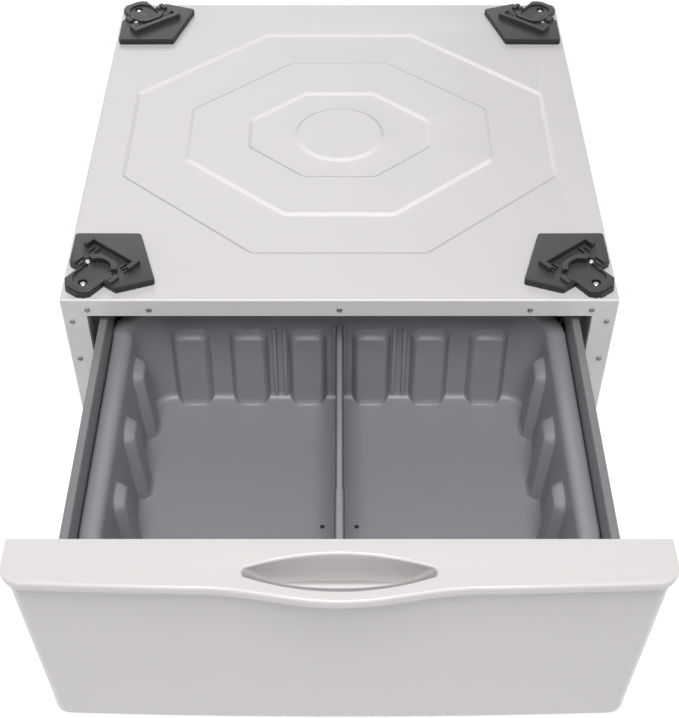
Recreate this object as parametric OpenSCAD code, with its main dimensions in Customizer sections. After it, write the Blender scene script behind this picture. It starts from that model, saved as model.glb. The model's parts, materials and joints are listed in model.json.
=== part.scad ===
// Laundry pedestal: a sheet steel cabinet that a washer stands on, with one storage drawer
// that runs out on telescopic ball slides. Drawn with the drawer pulled out.
// x runs across, y runs from the front to the back, z runs up from the floor.

/* [Cabinet] */
// Width of the cabinet
cab_w = 686; // [640:1:740]
// Depth of the cabinet, from the front frame to the rear edge
cab_d = 686; // [640:1:740]
// Height of the deck above the floor
deck_h = 360; // [345:1:400]
// Thickness of the cabinet's sheet steel
sheet = 1.2; // [0.8:0.1:1.6]
// Height of the cabinet's lower edge above the floor
skirt_h = 17; // [14:0.5:20]
// Height of the rail above the drawer opening
rail_h = 26.5; // [22:0.5:34]
// Width of the stiles beside the drawer opening
stile_w = 30; // [26:0.5:36]
// Width of the edge that is turned in round the drawer opening
return_w = 10; // [6:0.5:14]
// Width of the turned-in flange at the bottom and at the rear
flange_w = 14; // [10:0.5:18]
// Width of the open mitre at the frame's corners
mitre_gap = 0.6; // [0.3:0.1:1.2]
// Clearance between pieces that lie against each other
seat = 0.2; // [0.1:0.05:0.3]

/* [Pressed deck] */
// Height of each pressed step
press_step = 2.7; // [1.5:0.1:3.5]
// Width of the slope at each pressed step
press_slope = 5.3; // [3:0.1:7]
// Distance from the deck's side edge to the outer octagon
press_side = 47; // [40:1:60]
// Distance from the deck's front edge to the outer octagon
press_front = 86; // [80:1:100]
// Width of the outer ring at the sides
ring_side = 83; // [70:1:90]
// Width of the outer ring at the front and the back
ring_front = 77; // [65:1:90]
// Width of the middle ring at the sides
land_side = 85; // [70:1:90]
// Width of the middle ring at the front and the back
land_front = 80; // [65:1:90]
// Diameter of the round plateau
plateau_d = 121; // [100:1:140]
// Half the length of the outer octagon's front edge
outer_front_edge = 113; // [90:1:130]
// Half the length of the outer octagon's side edge
outer_side_edge = 98; // [80:1:120]
// Half the length of the middle octagon's front edge
middle_front_edge = 73; // [55:1:90]
// Half the length of the middle octagon's side edge
middle_side_edge = 61; // [45:1:80]
// Half the length of the inner octagon's front edge
inner_front_edge = 50; // [36:1:60]
// Half the length of the inner octagon's side edge
inner_side_edge = 32; // [24:1:44]

/* [Front rail beam and posts] */
// Depth of the beam and posts behind the front frame
post_d = 26; // [20:1:34]
// Thickness of the inner steel channels
channel = 1.5; // [1:0.1:2]
// Height of the braces under the deck
brace_h = 17; // [12:1:18]
// Width of the braces under the deck
brace_w = 60; // [40:1:80]
// Distance from the cabinet's middle to each brace
brace_y = 150; // [110:1:200]

/* [Base and feet] */
// Height of the base rails' underside above the floor
base_z = 26; // [24:0.5:32]
// Height of the base rails
base_h = 36; // [30:1:45]
// Width of the base rails
base_w = 62; // [54:1:70]
// Distance from the cabinet's side to the foot's axis
foot_x = 42; // [40:1:46]
// Distance from the cabinet's front or rear edge to the foot's axis
foot_y = 44; // [42:1:60]
// Diameter of the foot's screw
foot_screw_d = 10; // [8:0.5:12]
// Diameter of the foot's pad
foot_pad_d = 44; // [36:1:48]
// Height of the foot's pad
foot_pad_h = 11; // [9:0.5:12]
// Length of the foot's screw above the pad
foot_len = 48; // [40:1:60]
// Thickness of the lock nut
lock_nut_h = 6; // [5:0.5:6.5]

/* [Drawer] */
// How far the drawer is pulled out
drawer_out = 355; // [200:1:380]
// Gap between the closed front and the cabinet
front_gap = 2; // [1.5:0.1:4]
// Space for a slide on each side of the drawer
slide_gap = 13; // [13:0.1:15]
// Drop from the rail's lower edge to the drawer's rim
rim_drop = 13.5; // [6:0.5:20]
// Width of the rim
rim_w = 10; // [8:0.5:14]
// Height of the rim's inner wall above the tub's shoulder
rim_lip = 34; // [20:0.5:40]
// Length of the drawer box
box_len = 453; // [430:1:480]
// Depth from the rim to the tub's floor
tub_depth = 192; // [160:1:230]

/* [Tub] */
// Wall thickness of the tub
tub_wall = 3; // [2.5:0.1:4]
// Width of the tub's rolled shoulder
shoulder_w = 26; // [22:0.5:32]
// Inward lean of the tub's walls from top to floor
tub_draft = 7; // [3:0.5:10]
// Radius between the tub's walls and floor
floor_r = 9; // [6:0.5:12]
// Corner radius of the tub in plan
tub_corner_r = 42; // [32:1:50]
// Width of the ribs on the back wall
back_rib_w = 52; // [40:1:60]
// Width of the ribs on the side walls
side_rib_w = 46; // [36:1:56]
// How far the ribs stand out from the walls
rib_out = 12.5; // [8:0.5:14]
// Drop from the rim to the top of the ribs
rib_drop = 68; // [62:1:90]
// Distance between the ribs of the back wall
back_rib_pitch = 77.5; // [66:0.5:82]
// Distance from the middle to the first rib of the back wall
back_rib_first = 42.5; // [38:0.5:52]
// Distance between the ribs of a side wall
side_rib_pitch = 102; // [70:1:110]
// Distance from the tub's back wall to the rearmost side rib
side_rib_first = 66; // [50:1:80]

/* [Divider] */
// Thickness of the divider panel
divider_t = 4; // [3:0.5:6]
// Width of the divider's top rail
divider_rail_w = 10; // [8:0.5:12]
// Height of the divider above the tub's floor
divider_h = 135; // [100:1:140]
// Gap between the guides that hold the divider's ends
guide_gap = 8.5; // [8:0.5:12]
// Width of each guide strip
guide_w = 5; // [2:0.5:6]
// Clearance of the divider in its guides
divider_clear = 0.5; // [0.3:0.1:1]
// Distance from the middle guides to the other two pairs
guide_pitch = 79.5; // [78:0.5:86]
// Length of the sleeve on the divider's front end
sleeve_len = 114; // [60:1:160]

/* [Drawer front] */
// How far the drawer front stands out past the cabinet's sides
front_over = 1.5; // [0:0.5:4]
// Height of the front's lower edge above the floor
front_z = 15; // [12:0.5:30]
// Thickness of the rolled lip along the top
lip_t = 14; // [10:0.5:18]
// How far the lip reaches out from the front's back plane
lip_reach = 61.5; // [54:0.5:70]
// Extra reach of the lip at the handle
bulge = 15; // [8:0.5:20]
// Half the width of the bulge
bulge_half = 140; // [120:1:170]
// Bow of the front across its width, at the lip
bow = 8; // [0:0.5:14]
// Bow of the front across its width, at its lower edge
bow_low = 6; // [0:0.5:8]
// Depth of the front just under the lip
face_top = 45; // [42:0.5:50]
// Depth of the front at its lower edge
face_low = 15.5; // [12:0.5:24]
// Wall thickness of the front
front_wall = 3; // [2:0.1:4]
// Half the length of the thumb recess
recess_half = 98.5; // [80:0.5:110]
// Distance from the front's back plane to the recess
recess_back = 17.7; // [14:0.1:22]
// Distance from the front's back plane to the recess's near edge
recess_near = 62.6; // [54:0.1:66]
// Depth of the thumb recess
recess_depth = 33; // [20:1:36]

/* [Slides] */
// Height of the slides' centre line above the floor
slide_z = 205; // [170:1:230]
// Length of the slides
slide_len = 450; // [430:1:470]
// Height of the slides
slide_h = 45; // [42:0.5:48]
// Thickness of the slides' steel
rail_t = 1.2; // [1:0.05:1.3]
// Diameter of the balls that run on the outer rail
ball_outer_d = 4.2; // [3.6:0.1:4.4]
// Diameter of the balls that run on the inner rail
ball_inner_d = 3.8; // [3.4:0.1:4]
// Running clearance in the slides
run = 0.3; // [0.25:0.01:0.35]
// Length of the ball cages
cage_len = 180; // [120:1:190]
// Number of balls in each row
ball_count = 7; // [4:1:10]

/* [Corner pads] */
// Thickness of the pads
pad_t = 9; // [8:0.5:12]
// Height of the walls on the pads
wall_h = 8; // [5:0.5:10]
// Thickness of the walls on the pads
wall_t = 7; // [5:0.5:8]
// Radius of the seat for the washer's foot
cup_r = 18.5; // [17:0.5:19]
// Height of the seat's floor above the deck
cup_floor = 6; // [5.5:0.5:6.5]
// Width of the ring round the seat
ring_w = 7.5; // [5:0.5:8]
// Height of the ring above the pad
ring_h = 4.2; // [3:0.1:6]
// Distance from the cabinet's side to the seat's centre
cup_x = 41; // [40:0.5:46]
// Distance from the cabinet's front or rear edge to the seat's centre
cup_y = 44.5; // [43:0.5:47]
// Length of the clamp from the seat's centre to its outer end
clamp_len = 41.5; // [40:0.5:43]
// Half the width of the clamp
clamp_w = 21; // [20.5:0.5:22]
// Direction from the corner to the seat
pad_turn = 52; // [48:1:56]
// Diameter of the pads' screws
pad_screw_d = 4.8; // [4:0.1:5.5]
// Length of the pads' screws
pad_screw_len = 18; // [14:1:20]
// Length of the clamps' screws
clamp_screw_len = 14; // [11:1:18]

/* [Frame screws] */
// Diameter of the screws of the front frame and the rear panel
frame_screw_d = 3.8; // [3:0.1:4.5]
// Length of these screws
frame_screw_len = 8; // [6:0.5:10]
// Drop from the deck to the row of screws in the top rail
rail_screw_drop = 16; // [13:0.5:18]
// Distance from the cabinet's side to the outer screw of the top rail
rail_screw_outer = 32; // [28:1:40]
// Distance from the cabinet's side to the next screw of the top rail
rail_screw_inner = 108; // [80:1:140]
// Distance from the cabinet's side to the screws of a stile
stile_screw_in = 11; // [9:0.5:14]
// Drops from the deck to the screws of a stile
stile_screw_drops = [36, 102, 190, 280]; // [30:1:300]
// Distance from the middle to the outer screws in the rear panel's top edge
rear_screw_side = 200; // [150:5:260]
// Distance from the deck or the lower edge to the nearest screw of the rear panel
rear_screw_end = 40; // [30:1:60]

/* [Hidden] */
$fn = 40;

// Paint and plastic colours
white = [0.89, 0.87, 0.865];
galvanised = [0.66, 0.67, 0.69];
grey = [0.50, 0.505, 0.52];
charcoal = [0.30, 0.305, 0.315];
black = [0.09, 0.09, 0.10];
zinc = [0.78, 0.78, 0.79];

// Main planes
half_w = cab_w / 2;
front_w = cab_w + 2 * front_over;
opening = half_w - stile_w;
rail_z = deck_h - rail_h;
rim_z = rail_z - rim_drop;
box_half = opening - slide_gap;
tub_z = rim_z - tub_depth;
shoulder_z = rim_z - rim_lip;
inner_half = box_half - rim_w - shoulder_w;
lip_front = lip_reach + bulge;
frame_head_h = 1.6;
head_seat = 0.1;
middle_y = (cab_d + head_seat + frame_head_h - drawer_out - front_gap - lip_front) / 2;
big = 2 * cab_d;
eps = 0.01;

// Points along an arc
function arc(c, r, a0, a1, n) =
    [for (i = [0:n]) c + r * [cos(a0 + (a1 - a0) * i / n), sin(a0 + (a1 - a0) * i / n)]];

function unit(v) = v / norm(v);
function left_of(v) = [-v[1], v[0]];
function heading(v) = atan2(v[1], v[0]);
function flip(p) = [for (i = [len(p) - 1:-1:0]) p[i]];
// Turn from one heading to the next, between -180 and 180
function turn(a, b) = let (d = b - a) d > 180 ? d - 360 : d < -180 ? d + 360 : d;

// One side of a bent strip: the path moved to its left by d, with rounded bends of radius r
function strip_side(p, d, r, n = 4) = let (last = len(p) - 1) [
    p[0] + left_of(unit(p[1] - p[0])) * d,
    for (i = [1:last - 1])
        let (u = unit(p[i] - p[i - 1]), w = unit(p[i + 1] - p[i]),
            side = sign(turn(heading(u), heading(w))),
            c = p[i] + (left_of(u) + left_of(w)) * side * r / (1 + u * w),
            a = heading(-side * left_of(u)), sweep = turn(heading(u), heading(w)))
        for (k = [0:n]) c + (r - side * d) * [cos(a + sweep * k / n), sin(a + sweep * k / n)],
    p[last] + left_of(unit(p[last] - p[last - 1])) * d];

// Outline of sheet of thickness t, bent along a centre path
function strip(p, t, r = 2) = concat(strip_side(p, t / 2, r), flip(strip_side(p, -t / 2, r)));

// A convex outline with rounded corners of radius r, grown by d, listed anticlockwise
function rounded(p, r, d = 0, n = 4) = let (m = len(p)) [for (i = [0:m - 1])
    let (u = unit(p[i] - p[(i + m - 1) % m]), w = unit(p[(i + 1) % m] - p[i]),
        c = p[i] + (left_of(u) + left_of(w)) * r / (1 + u * w),
        a = heading(-left_of(u)), sweep = turn(heading(u), heading(w)))
    for (k = [0:n]) c + (r + d) * [cos(a + sweep * k / n), sin(a + sweep * k / n)]];

function box_outline(x0, x1, y0, y1) = [[x0, y0], [x1, y0], [x1, y1], [x0, y1]];
function at_z(p, z) = [for (q = p) [q[0], q[1], z]];

// Closed skin through rings of equal length, from the lower cap to the upper cap
module loft(rings) {
    n = len(rings[0]);
    m = len(rings);
    points = [for (ring = rings) each ring];
    sides = [for (i = [0:m - 2]) for (j = [0:n - 1]) let (k = (j + 1) % n)
        each [[i * n + j, (i + 1) * n + j, (i + 1) * n + k], [i * n + j, (i + 1) * n + k, i * n + k]]];
    caps = [[for (j = [0:n - 1]) j], [for (j = [n - 1:-1:0]) (m - 1) * n + j]];
    polyhedron(points, concat(sides, caps), convexity = 8);
}

// A block between two corners
module block(low, high) {
    translate(low) cube(high - low);
}

// An outline in x and z, run along y from y0 to y1
module along_y(outline, y0, y1) {
    translate([0, y1, 0]) rotate([90, 0, 0]) linear_extrude(y1 - y0) polygon(outline);
}

// An outline in y and z, run along x from x0 to x1
module along_x(outline, x0, x1) {
    translate([x0, 0, 0]) rotate([90, 0, 90]) linear_extrude(x1 - x0) polygon(outline);
}

module pair() {
    children();
    mirror([1, 0, 0]) children();
}

// Puts the middle of the whole pedestal, drawer out, over the origin
module place() {
    translate([0, -middle_y, 0]) children();
}

// Carries a piece that is drawn on the closed drawer out with it; y = 0 is the front's back plane
module on_drawer() {
    translate([0, -middle_y - front_gap - drawer_out, 0]) children();
}

// Cabinet wrap: sides and deck in one folded sheet, with mitred front flanges and a pressed deck

// Octagon given by its half sizes and the half lengths of its front and side edges
function octagon(hx, hy, ex, ey) =
    [[ex, -hy], [hx, -ey], [hx, ey], [ex, hy], [-ex, hy], [-hx, ey], [-hx, -ey], [-ex, -hy]];

press_r = 14;
outer_hx = half_w - press_side;
outer_hy = cab_d / 2 - press_front;
middle_hx = outer_hx - ring_side;
middle_hy = outer_hy - ring_front;
inner_hx = middle_hx - land_side;
inner_hy = middle_hy - land_front;
outer_oct = octagon(outer_hx, outer_hy, outer_front_edge, outer_side_edge);
middle_oct = octagon(middle_hx, middle_hy, middle_front_edge, middle_side_edge);
inner_oct = octagon(inner_hx, inner_hy, inner_front_edge, inner_side_edge);

// Octagonal step between two heights: it grows by one slope from the lower to the upper outline
module oct_step(oct, low, high, z0, z1) {
    translate([0, cab_d / 2, 0])
        loft([at_z(rounded(oct, press_r, low), z0), at_z(rounded(oct, press_r, high), z1)]);
}

module round_step(r0, r1, z0, z1) {
    translate([0, cab_d / 2, z0]) cylinder(h = z1 - z0, r1 = r0, r2 = r1);
}

// Space above the pressed rings, for a deck whose top lies at z
module press_hollows(z) {
    low = z - press_step;
    difference() {
        oct_step(outer_oct, -press_slope, 0, low, z);
        translate([0, 0, -eps]) oct_step(middle_oct, 0, -press_slope, low, z + 2 * eps);
    }
    difference() {
        oct_step(inner_oct, -press_slope, 0, low, z);
        translate([0, 0, -eps])
            round_step(plateau_d / 2 + press_slope / 2, plateau_d / 2 - press_slope / 2, low, z + 2 * eps);
    }
}

// Material that the pressing pushes down below the flat sheet, solid
module press_body() {
    oct_step(outer_oct, -press_slope, 0, deck_h - sheet - press_step, deck_h - sheet + eps);
}

// Space under the raised land and plateau
module press_underside() {
    low = deck_h - sheet - press_step;
    difference() {
        translate([0, 0, -eps]) oct_step(middle_oct, 0, -press_slope, low, deck_h - sheet + eps);
        translate([0, 0, -2 * eps]) oct_step(inner_oct, -press_slope, 0, low, deck_h - sheet + 3 * eps);
    }
    translate([0, 0, -eps])
        round_step(plateau_d / 2 + press_slope / 2, plateau_d / 2 - press_slope / 2, low, deck_h - sheet + eps);
}

bend = sheet + 1;
wrap_path = [[-half_w + flange_w, skirt_h + sheet / 2], [-half_w + sheet / 2, skirt_h + sheet / 2],
    [-half_w + sheet / 2, deck_h - sheet / 2], [half_w - sheet / 2, deck_h - sheet / 2],
    [half_w - sheet / 2, skirt_h + sheet / 2], [half_w - flange_w, skirt_h + sheet / 2]];

// Flange in the plane of the front or rear: stiles and rail, mitred where they meet
module face_frame(side, top, gap) {
    miss = gap / 2;
    out_x = half_w - sheet / 2;
    out_z = deck_h - sheet / 2;
    rotate([90, 0, 0]) translate([0, 0, -sheet]) linear_extrude(sheet) {
        for (s = [-1, 1])
            polygon([[s * (half_w - side), skirt_h], [s * out_x, skirt_h],
                [s * out_x, out_z - miss], [s * (half_w - side), deck_h - top - miss]]);
        polygon([[-half_w + side + miss, deck_h - top], [half_w - side - miss, deck_h - top],
            [out_x - miss, out_z], [-out_x + miss, out_z]]);
    }
}

// What a bend of radius bend takes off a square outer edge
module edge_cut(length) {
    difference() {
        translate([-1, -1, 0]) cube([bend + 1, bend + 1, length]);
        translate([bend, bend, -1]) cylinder(h = length + 2, r = bend);
    }
}

frame_screw_xs = [-(half_w - rail_screw_outer), -(half_w - rail_screw_inner), 0,
    half_w - rail_screw_inner, half_w - rail_screw_outer];
frame_screw_z = deck_h - rail_screw_drop;
stile_screw_zs = [for (drop = stile_screw_drops) deck_h - drop];
stile_screw_x = half_w - stile_screw_in;
rear_screw_zs = [deck_h - rear_screw_end, deck_h / 2, skirt_h + rear_screw_end];
rear_screw_xs = [-rear_screw_side, 0, rear_screw_side];
hole_clear = 0.2;

// Places children on each screw of the front frame, heads towards the front
module at_frame_screws() {
    for (x = frame_screw_xs)
        translate([x, 0, frame_screw_z]) rotate([90, 0, 0]) children();
    for (s = [-1, 1])
        for (z = stile_screw_zs)
            translate([s * stile_screw_x, 0, z]) rotate([90, 0, 0]) children();
}

module at_rear_screws() {
    for (s = [-1, 1])
        for (z = rear_screw_zs)
            translate([s * (half_w - flange_w / 2), cab_d, z]) rotate([-90, 0, 0]) children();
    for (x = rear_screw_xs)
        translate([x, cab_d, deck_h - flange_w / 2]) rotate([-90, 0, 0]) children();
}

module screw_hole(d, depth) {
    translate([0, 0, -depth]) cylinder(h = depth + 1, d = d + 2 * hole_clear);
}

module cabinet_wrap() {
    color(white) difference() {
        union() {
            along_y(strip(wrap_path, sheet, bend - sheet / 2), 0, cab_d);
            press_body();
            face_frame(stile_w, rail_h, mitre_gap);
            translate([0, cab_d - sheet, 0]) face_frame(flange_w, flange_w, mitre_gap);
            pair() block([opening, 0, base_z + base_h + seat],
                [opening + sheet, return_w, rail_z - mitre_gap]);
            block([-opening + mitre_gap, 0, rail_z], [opening - mitre_gap, return_w, rail_z + sheet]);
        }
        press_hollows(deck_h + eps);
        press_underside();
        pair() translate([half_w, 0, 0]) rotate([0, 0, 90]) edge_cut(deck_h + 1);
        pair() translate([half_w, cab_d, 0]) rotate([0, 0, 180]) edge_cut(deck_h + 1);
        translate([-half_w - 1, 0, deck_h]) rotate([0, 90, 0]) edge_cut(cab_w + 2);
        translate([half_w + 1, cab_d, deck_h]) rotate([0, 90, 180]) edge_cut(cab_w + 2);
        at_frame_screws() screw_hole(frame_screw_d, sheet + 1);
        at_rear_screws() screw_hole(frame_screw_d, sheet + 1);
        at_corners() pad_screw_spots() screw_hole(pad_screw_d, 2 * sheet);
    }
}

// Rear panel: a flat sheet with its edges folded forward, screwed behind the wrap's rear flange
module rear_panel() {
    fold = 12;
    y1 = cab_d - sheet - seat;
    x1 = half_w - sheet - 2 * seat;
    z0 = skirt_h + sheet + 2 * seat;
    z1 = deck_h - sheet - 2 * seat;
    color(white) difference() {
        block([-x1, y1 - fold, z0], [x1, y1, z1]);
        block([-x1 + sheet, y1 - fold - 1, z0 + sheet], [x1 - sheet, y1 - sheet, z1 - sheet]);
        at_rear_screws() screw_hole(frame_screw_d, 4 * sheet);
    }
}

// Inner steel channels that the frame is screwed to

post_y = sheet + seat + channel / 2;

module header_beam() {
    z0 = rail_z + sheet + seat + channel / 2;
    z1 = deck_h - sheet - seat - channel / 2;
    x1 = half_w - sheet - seat - bend;
    path = [[post_y + post_d, z0], [post_y, z0], [post_y, z1], [post_y + post_d, z1]];
    color(galvanised) difference() {
        along_x(strip(path, channel, channel), -x1, x1);
        at_frame_screws() screw_hole(frame_screw_d, 4 * channel);
        at_corners() pad_screw_spots() screw_hole(pad_screw_d, 4 * channel);
    }
}

module front_post() {
    x0 = opening + sheet + seat + channel / 2;
    x1 = half_w - sheet - seat - channel / 2;
    z0 = base_z + base_h + seat;
    path = [[x1, post_y + post_d], [x1, post_y], [x0, post_y], [x0, post_y + post_d]];
    color(galvanised) difference() {
        translate([0, 0, z0]) linear_extrude(rail_z - seat - z0) polygon(strip(path, channel, channel));
        at_frame_screws() screw_hole(frame_screw_d, 4 * channel);
    }
}

module deck_brace(side) {
    z1 = deck_h - sheet - press_step - seat - channel / 2;
    z0 = z1 - brace_h;
    y = cab_d / 2 + side * brace_y;
    crown = brace_w / 4;
    foot = brace_w / 2;
    path = [[y - foot - 14, z1], [y - foot, z1], [y - crown, z0], [y + crown, z0], [y + foot, z1],
        [y + foot + 14, z1]];
    x1 = half_w - sheet - seat;
    color(galvanised) along_x(strip(path, channel, channel), -x1, x1);
}

// Base rails: channels along the lower edges that carry the feet

base_x1 = half_w - sheet - seat;
base_x0 = base_x1 - base_w;
base_y0 = sheet + seat;
base_y1 = cab_d - sheet - 12 - 3 * seat;
foot_xs = half_w - foot_x;
foot_ys = [foot_y, cab_d - foot_y];

module base_rail_side() {
    h = channel / 2;
    path = [[base_x0, base_z + h], [base_x1 - h, base_z + h], [base_x1 - h, base_z + base_h - h],
        [base_x1 - 26, base_z + base_h - h]];
    color(galvanised) difference() {
        along_y(strip(path, channel, channel), base_y0, base_y1);
        for (y = foot_ys)
            translate([foot_xs, y, base_z - 1])
                cylinder(h = channel + 2, d = foot_screw_d + 1);
    }
}

// Cross rail between the side rails; side is 1 for the front one, -1 for the rear one
module base_rail_cross(side, y) {
    h = channel / 2;
    depth = 36;
    path = [[y + side * depth, base_z + h], [y + side * h, base_z + h],
        [y + side * h, base_z + base_h - h], [y + side * depth * 0.6, base_z + base_h - h]];
    color(galvanised)
        along_x(strip(path, channel, channel), -base_x0 + seat, base_x0 - seat);
}

// Levelling feet

module at_feet() {
    for (x = [-foot_xs, foot_xs])
        for (y = foot_ys)
            translate([x, y, 0]) children();
}

thread_clear = 0.08;

module hex_nut(h, across) {
    difference() {
        cylinder(h = h, d = across / cos(30), $fn = 6);
        translate([0, 0, -1]) cylinder(h = h + 2, d = foot_screw_d + 2 * thread_clear);
    }
}

module weld_nuts() {
    color(zinc) at_feet() translate([0, 0, base_z + channel + seat / 2]) hex_nut(8, 1.6 * foot_screw_d);
}

module lock_nuts() {
    color(zinc) at_feet()
        translate([0, 0, base_z - lock_nut_h - seat / 2]) hex_nut(lock_nut_h, 1.6 * foot_screw_d);
}

foot_socket = 4;

module foot_pad(sx, sy) {
    r = foot_pad_d / 2;
    neck = foot_screw_d / 2 + 5;
    color(black) translate([sx * foot_xs, foot_ys[sy], 0]) difference() {
        rotate_extrude() polygon([[0, 0], [r - 1.5, 0], [r, 1.5], [r, 4], [neck + 1, foot_pad_h - 1],
            [neck, foot_pad_h], [0, foot_pad_h]]);
        translate([0, 0, foot_socket])
            cylinder(h = foot_pad_h, d = foot_screw_d + 2 * thread_clear);
    }
}

module foot_stem(sx, sy) {
    collar = 2.6;
    top = foot_pad_h + foot_len;
    color(zinc) translate([sx * foot_xs, foot_ys[sy], 0]) {
        translate([0, 0, foot_socket + run]) cylinder(h = top - foot_socket - run - 1, d = foot_screw_d);
        translate([0, 0, top - 1]) cylinder(h = 1, d1 = foot_screw_d, d2 = foot_screw_d - 2);
        translate([0, 0, foot_pad_h + run]) cylinder(h = collar, d = 1.3 * foot_screw_d / cos(30), $fn = 6);
    }
}

// Screws

module pan_screw(d, head_d, head_h, length) {
    slot = head_d / 6;
    difference() {
        union() {
            translate([0, 0, -length]) cylinder(h = length + eps, d = d);
            cylinder(h = head_h * 0.55, d = head_d);
            translate([0, 0, head_h * 0.55]) cylinder(h = head_h * 0.45, d1 = head_d, d2 = head_d * 0.72);
        }
        for (a = [0, 90])
            rotate(a) translate([-head_d * 0.3, -slot / 2, head_h * 0.4]) cube([head_d * 0.6, slot, head_h]);
    }
}

module frame_screws() {
    color(zinc) at_frame_screws()
        translate([0, 0, head_seat]) pan_screw(frame_screw_d, 7.2, frame_head_h, frame_screw_len);
}

module rear_screws() {
    color(zinc) at_rear_screws()
        translate([0, 0, head_seat]) pan_screw(frame_screw_d, 7.2, frame_head_h, frame_screw_len);
}

// Corner pads and the clamps that hold the washer's feet

module at_corner(right, rear) {
    translate([right ? half_w : -half_w, rear ? cab_d : 0, deck_h])
        mirror([right ? 1 : 0, 0, 0]) mirror([0, rear ? 1 : 0, 0]) children();
}

module at_corners() {
    for (right = [false, true])
        for (rear = [false, true])
            at_corner(right, rear) children();
}

// Frame at the seat's centre: x points away from the cabinet's corner
module at_seat() {
    translate([cup_x, cup_y, 0]) rotate(pad_turn) children();
}

clamp_screw_at = [-24, 0];
pad_screw_at = [6.5, 22.7];
pad_notch_at = [10, -21.5];
pad_outline = [[-9.4, -41.5], [32.6, -68.5], [85.6, 6.5], [34.6, 72.5], [-9.4, 38.5]];
clamp_gap = 0.4;
clamp_t = pad_t;
clamp_rim = 3.4;
clamp_foot = 3;
cup_low = cup_floor + seat;
ring_ends = [-60, 66];
pocket_r = 4.6;
notch_w = 6;
notch_turn = 25;
pad_head_d = 7.4;
pad_head_h = 2.4;
head_lift = 0.1;
clamp_bore_z = 2;
pocket_z = cup_low - 1;

module pad_screw_spots() {
    at_seat() {
        translate(clamp_screw_at) children();
        translate(pad_screw_at) children();
    }
}

// The clamp's tongue in plan, grown by g, with its outer end reaching out further
module tongue(g, out) {
    end = -clamp_len - out - g;
    side = clamp_w + g;
    polygon(rounded([[end, -7], [end + 2.5, -14.5], [-clamp_len + 8, -side], [0, -side], [0, side],
        [-clamp_len + 7, side], [end, 10]], 2));
}

// The clamp in plan: the tongue and the disc that the washer's foot stands on
module clamp_plan(g, out) {
    circle(r = cup_r + 0.6 + g);
    tongue(g, out);
}

// Low walls on the pad: a wide U, two bars beside the seat, and short ribs
module pad_walls() {
    inner = 34;
    mid = 3.75;
    half = 34.3;
    hook = 12;
    end_t = 6;
    low = pad_t - 1;
    translate([inner, mid - half - end_t, low]) cube([wall_t, 2 * (half + end_t), wall_h + 1]);
    for (s = [-1, 1]) {
        translate([inner - hook, mid + s * (half + end_t / 2) - end_t / 2, low])
            cube([hook + eps, end_t, wall_h + 1]);
        translate([-8, s * 31 - 3, low]) cube([14, 6, 5]);
        translate([-7, s * 24 - 2, low]) cube([8, 4, 3.5]);
    }
    for (q = [[18, 31.5], [22, 24.5], [21, -22], [20, -27], [17.5, -31.7]])
        translate([q[0], q[1] - 0.9, low]) cube([10, 1.8, 4]);
}

// Pocket for the pad's screw, open towards the seat
module screw_pocket() {
    translate([pad_screw_at[0], pad_screw_at[1], pocket_z]) {
        cylinder(h = pad_t + ring_h, r = pocket_r);
        translate([-pocket_r * 0.7, -8, 0]) cube([pocket_r * 1.4, 8, pad_t + ring_h]);
    }
}

module corner_pad(right, rear) {
    reach = 2 * (cup_r + ring_w);
    color(charcoal) at_corner(right, rear) at_seat() difference() {
        union() {
            translate([0, 0, seat]) linear_extrude(pad_t - seat - 1) polygon(rounded(pad_outline, 4));
            translate([0, 0, pad_t - 1 - eps]) linear_extrude(1 + eps) polygon(rounded(pad_outline, 4, -0.8));
            pad_walls();
            intersection() {
                translate([0, 0, pad_t - 1]) cylinder(h = ring_h + 1, r = cup_r + ring_w);
                linear_extrude(big) polygon([[0, 0], for (end = ring_ends) reach * [cos(end), sin(end)]]);
            }
        }
        translate([0, 0, cup_low]) cylinder(h = pad_t + wall_h, r = cup_r);
        translate([0, 0, -1]) linear_extrude(cup_low + 1) clamp_plan(clamp_gap, clamp_foot);
        translate([0, 0, -1]) linear_extrude(pad_t + wall_h + 2) tongue(clamp_gap, 0);
        screw_pocket();
        translate([pad_notch_at[0], pad_notch_at[1], pad_t - 2.5]) rotate(notch_turn)
            translate([-notch_w / 2, -notch_w / 2, 0]) cube([notch_w, notch_w, pad_t + ring_h]);
        translate([pad_screw_at[0], pad_screw_at[1], -1])
            cylinder(h = pad_t, d = pad_screw_d + 2 * hole_clear);
    }
}

module foot_clamp(right, rear) {
    recess_x = -15.3;
    recess_r = clamp_w - clamp_rim + 0.9;
    recess_w = clamp_w - clamp_rim;
    foot_h = clamp_t - 3.5;
    color(charcoal) at_corner(right, rear) at_seat() difference() {
        union() {
            translate([0, 0, seat]) linear_extrude(foot_h - seat) clamp_plan(0, clamp_foot);
            translate([0, 0, foot_h - eps]) linear_extrude(clamp_t - foot_h + eps) tongue(0, 0);
            translate([0, 0, foot_h - eps]) cylinder(h = cup_floor - foot_h + eps, r = cup_r + 0.6);
        }
        translate([0, 0, cup_floor]) linear_extrude(clamp_t) {
            circle(r = cup_r + 1);
            translate([recess_x, 0]) circle(r = recess_r);
            translate([recess_x, -recess_w]) square([-recess_x, 2 * recess_w]);
        }
        translate([clamp_screw_at[0], clamp_screw_at[1], -1])
            cylinder(h = clamp_t + 2, d = pad_screw_d + 2 * hole_clear);
        translate([clamp_screw_at[0], clamp_screw_at[1], clamp_bore_z]) cylinder(h = clamp_t, r = 6);
        translate([-clamp_len - 1, -13.6, -1]) cylinder(h = clamp_t + 2, r = 1.8);
    }
}

module clamp_screws() {
    color(zinc) at_corners() at_seat()
        translate([clamp_screw_at[0], clamp_screw_at[1], clamp_bore_z + head_lift])
            pan_screw(pad_screw_d, pad_head_d, pad_head_h, clamp_screw_len);
}

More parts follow.
